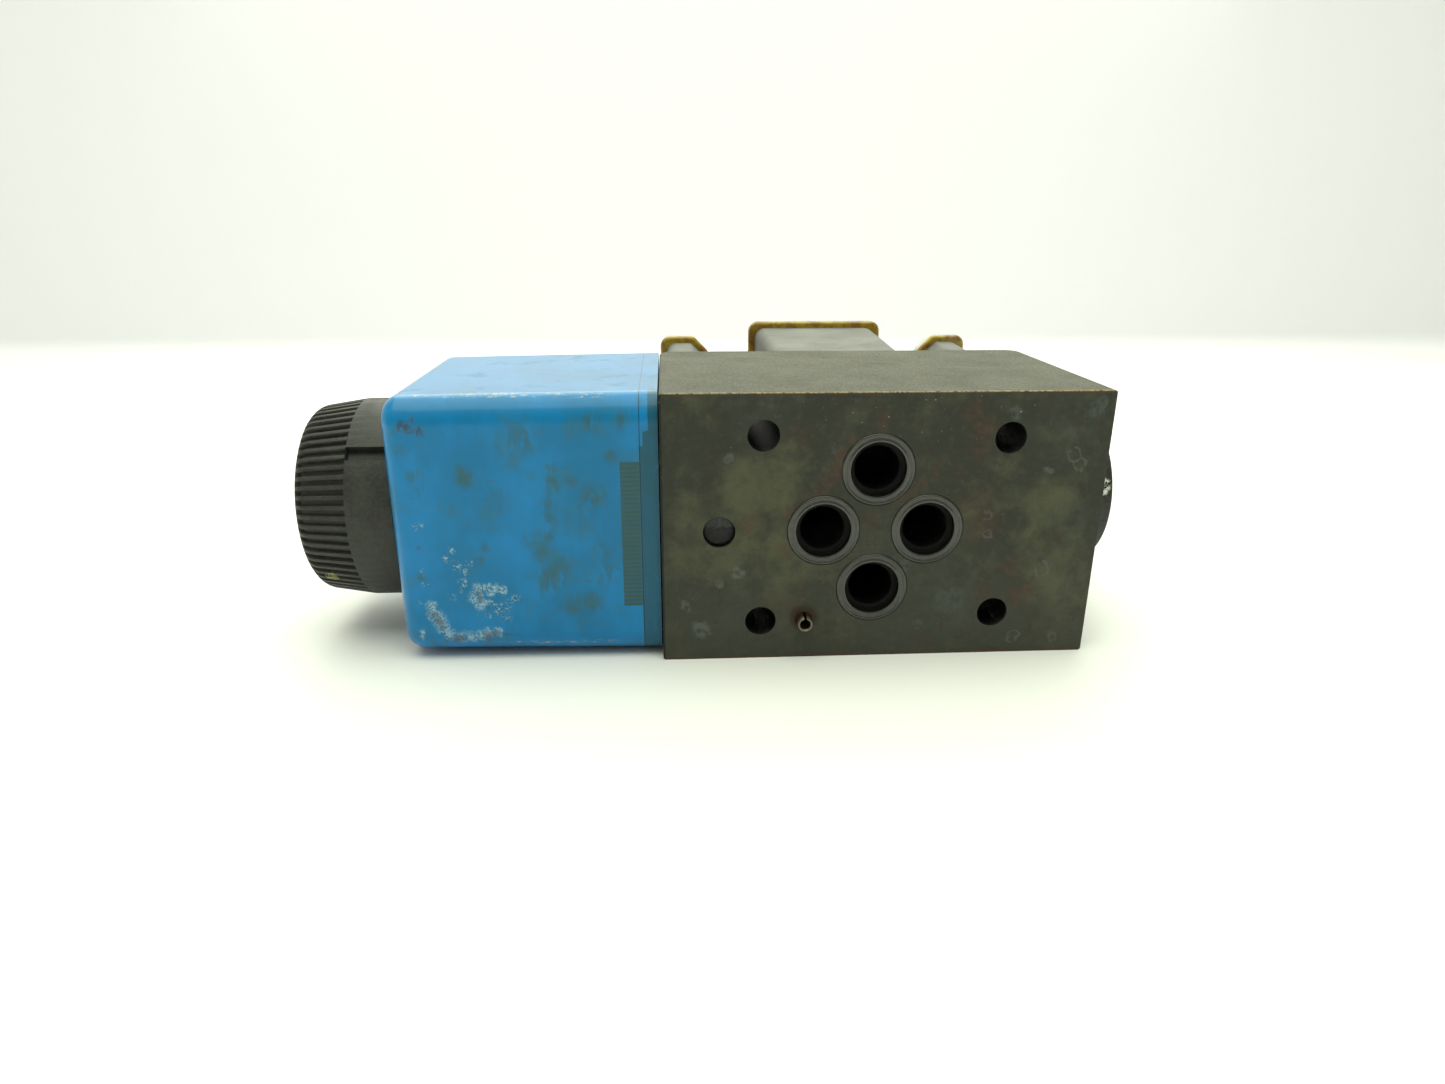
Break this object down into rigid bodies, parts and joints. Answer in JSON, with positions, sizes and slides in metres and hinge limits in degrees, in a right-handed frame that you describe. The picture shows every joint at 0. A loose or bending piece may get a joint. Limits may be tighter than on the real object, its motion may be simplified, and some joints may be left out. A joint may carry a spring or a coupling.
{
  "type": "solenoid directional valve",
  "caption": "Single-solenoid, spring-offset directional control valve with a ribbed coil nut, a wiring box and a flat four-port mounting face.",
  "frame": {"origin": "centre of the bolt pattern, on the mounting face", "axes": "+X along the spool, away from the solenoid; +Y from the mounting face into the valve; +Z across the body, up as the valve lies on its side"},
  "size_m": [0.1434, 0.0891, 0.0508],
  "materials": {
    "cast_body": "phosphated cast iron, stained with rust",
    "black_rubber": "moulded nitrile",
    "pin_steel": "bright rolled steel",
    "dark_steel": "black oxide",
    "ground_steel": "ground and lapped",
    "spring_steel": "drawn wire",
    "soft_iron": "turned soft iron",
    "tube_steel": "turned stainless tube",
    "brass": "turned brass",
    "blue_paint": "blue paint, scuffed and chipped",
    "bobbin_plastic": "glass-filled plastic",
    "copper_wire": "enamelled copper wire",
    "resin": "potting resin",
    "black_plastic": "moulded black plastic",
    "grey_box": "grey painted die casting",
    "grey_cover": "light grey painted die casting",
    "amber_seal": "amber moulded seal",
    "plated_steel": "zinc plated",
    "plate_aluminium": "blank anodised plate",
    "lead_insulation": "insulated wire"
  },
  "bodies": {
    "valve": {"air_gap_washer": "brass", "blank_plug": "black_plastic", "box_gasket": "black_rubber", "box_screws": "plated_steel", "coil_bobbin": "bobbin_plastic", "coil_can": "blue_paint", "coil_leads": "lead_insulation", "coil_plate": "blue_paint", "coil_resin": "resin", "coil_terminals": "brass", "coil_winding": "copper_wire", "core_tube": "tube_steel", "core_tube_seal": "black_rubber", "cover": "grey_cover", "cover_gasket": "amber_seal", "cover_screws": "plated_steel", "drain_plug": "dark_steel", "earth_screw": "plated_steel", "end_plug": "dark_steel", "end_plug_seal": "black_rubber", "lead_housing": "black_plastic", "locating_pin": "pin_steel", "nameplate": "plate_aluminium", "pole_piece": "soft_iron", "port_seals": "black_rubber", "return_spring": "spring_steel", "terminal_block": "bobbin_plastic", "terminal_screws": "plated_steel", "tube_end_plug": "soft_iron", "valve_body": "cast_body", "wiring_box": "grey_box"},
    "spool": {"spool": "ground_steel", "spring_seat": "ground_steel"},
    "push_pin": {"push_pin": "ground_steel"},
    "armature": {"armature": "soft_iron"},
    "override_pin": {"override_pin": "ground_steel", "override_seal": "black_rubber"},
    "nut_carrier": {"nut_seal": "black_rubber"},
    "coil_nut": {"coil_nut": "black_plastic", "nut_insert": "brass"}
  },
  "joints": [
    {"name": "spool_shift", "type": "slide", "parent": "valve", "child": "spool", "axis": [1, 0, 0], "range_m": [0, 0.005], "stiffness_N_per_m": 3500, "springref_m": -0.006, "deforming": ["return_spring"]},
    {"name": "push_pin_slide", "type": "slide", "parent": "valve", "child": "push_pin", "axis": [1, 0, 0], "range_m": [0, 0.005]},
    {"name": "armature_slide", "type": "slide", "parent": "valve", "child": "armature", "axis": [1, 0, 0], "range_m": [0, 0.005]},
    {"name": "override_press", "type": "slide", "parent": "valve", "child": "override_pin", "axis": [1, 0, 0], "range_m": [0, 0.005]},
    {"name": "nut_travel", "type": "slide", "parent": "valve", "child": "nut_carrier", "axis": [-1, 0, 0], "range_m": [0, 0.012]},
    {"name": "nut_turn", "type": "hinge", "parent": "nut_carrier", "child": "coil_nut", "pos_m": [-0.09, 0.024, 0], "axis": [-1, 0, 0], "range_deg": [0, 2880]}
  ],
  "couplings": [
    {"joint": "push_pin_slide", "follows": "spool_shift", "ratio": 1},
    {"joint": "armature_slide", "follows": "spool_shift", "ratio": 1},
    {"joint": "override_press", "follows": "spool_shift", "ratio": 1},
    {"joint": "nut_travel", "follows": "nut_turn", "m_per_rad": 0.00023873}
  ]
}
